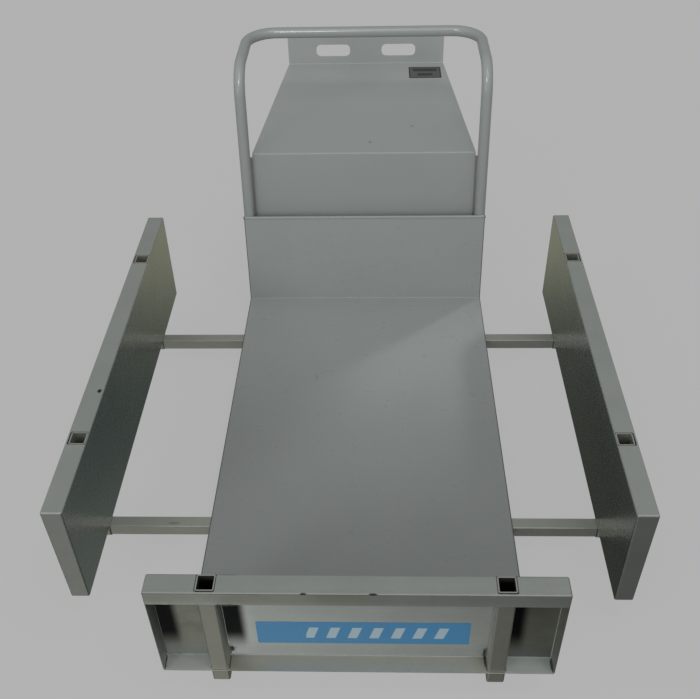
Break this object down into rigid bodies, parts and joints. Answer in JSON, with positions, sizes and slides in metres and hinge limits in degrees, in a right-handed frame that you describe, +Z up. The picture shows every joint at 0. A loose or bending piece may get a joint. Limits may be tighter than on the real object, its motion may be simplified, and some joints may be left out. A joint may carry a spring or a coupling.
{
  "type": "extendable dumper load bed",
  "caption": "Flat load bed for a tracked mini dumper: floor with headboard, guard hoop, engine hood with hand slots, and side panels and front gate that slide out on telescopic arms.",
  "frame": {"origin": "centre of the four chassis bolt holes, on the underside of the rails", "axes": "+Z up, -Y towards the front gate, +Y towards the hood, +X to the right when seen from the gate"},
  "size_m": [1.1983, 1.963, 0.767],
  "materials": {
    "paint": "satin light grey paint",
    "panel_sheet": "semi-gloss metallic grey paint on folded sheet",
    "tube_steel": "semi-gloss grey paint on square tube",
    "zinc": "zinc plated",
    "black_plastic": "matte black",
    "dark_plate": "blank dark film",
    "blue_film": "blue film with pale bars"
  },
  "bodies": {
    "bed": {"floor_pan": "paint", "left_rail": "paint", "right_rail": "paint", "rail_end_caps": "black_plastic", "front_guide_tube": "paint", "rear_guide_tube": "paint", "gate_guide_left": "paint", "gate_guide_right": "paint", "mid_cross_member": "paint", "rear_cross_member": "paint", "guard_hoop": "paint", "hoop_foot_left": "paint", "hoop_foot_right": "paint", "hoop_foot_bolts": "zinc", "engine_hood": "paint", "hood_bracket_left": "paint", "hood_bracket_right": "paint", "hood_bolts": "zinc", "hood_nuts": "zinc", "rating_plate": "dark_plate", "lock_nuts": "zinc"},
    "left_side": {"left_panel": "panel_sheet", "left_front_post": "tube_steel", "left_rear_post": "tube_steel", "left_front_arm": "tube_steel", "left_rear_arm": "tube_steel", "left_stop_bolts": "zinc"},
    "right_side": {"right_panel": "panel_sheet", "right_front_post": "tube_steel", "right_rear_post": "tube_steel", "right_front_arm": "tube_steel", "right_rear_arm": "tube_steel", "right_stop_bolts": "zinc"},
    "gate": {"front_gate": "panel_sheet", "gate_left_post": "tube_steel", "gate_right_post": "tube_steel", "gate_left_arm": "tube_steel", "gate_right_arm": "tube_steel", "gate_stop_bolts": "zinc", "gate_decal": "blue_film"},
    "left_front_lock": {"left_front_lock_screw": "zinc"},
    "left_rear_lock": {"left_rear_lock_screw": "zinc"},
    "right_front_lock": {"right_front_lock_screw": "zinc"},
    "right_rear_lock": {"right_rear_lock_screw": "zinc"},
    "gate_left_lock": {"gate_left_lock_screw": "zinc"},
    "gate_right_lock": {"gate_right_lock_screw": "zinc"}
  },
  "joints": [
    {"name": "left_panel_slide", "type": "slide", "parent": "bed", "child": "left_side", "axis": [-1, 0, 0], "range_m": [-0.2275, 0]},
    {"name": "right_panel_slide", "type": "slide", "parent": "bed", "child": "right_side", "axis": [1, 0, 0], "range_m": [-0.187, 0.0405]},
    {"name": "front_gate_slide", "type": "slide", "parent": "bed", "child": "gate", "axis": [0, -1, 0], "range_m": [-0.134, 0]},
    {"name": "left_front_lock_turn", "type": "hinge", "parent": "bed", "child": "left_front_lock", "pos_m": [-0.308, -0.3255, 0.03], "axis": [0, 0, 1], "continuous": true},
    {"name": "left_rear_lock_turn", "type": "hinge", "parent": "bed", "child": "left_rear_lock", "pos_m": [-0.308, 0.347, 0.03], "axis": [0, 0, 1], "continuous": true},
    {"name": "right_front_lock_turn", "type": "hinge", "parent": "bed", "child": "right_front_lock", "pos_m": [0.308, -0.3255, 0.03], "axis": [0, 0, 1], "continuous": true},
    {"name": "right_rear_lock_turn", "type": "hinge", "parent": "bed", "child": "right_rear_lock", "pos_m": [0.308, 0.347, 0.03], "axis": [0, 0, 1], "continuous": true},
    {"name": "gate_left_lock_turn", "type": "hinge", "parent": "bed", "child": "gate_left_lock", "pos_m": [-0.272, -0.507, 0.03], "axis": [0, 0, 1], "continuous": true},
    {"name": "gate_right_lock_turn", "type": "hinge", "parent": "bed", "child": "gate_right_lock", "pos_m": [0.272, -0.507, 0.03], "axis": [0, 0, 1], "continuous": true}
  ]
}
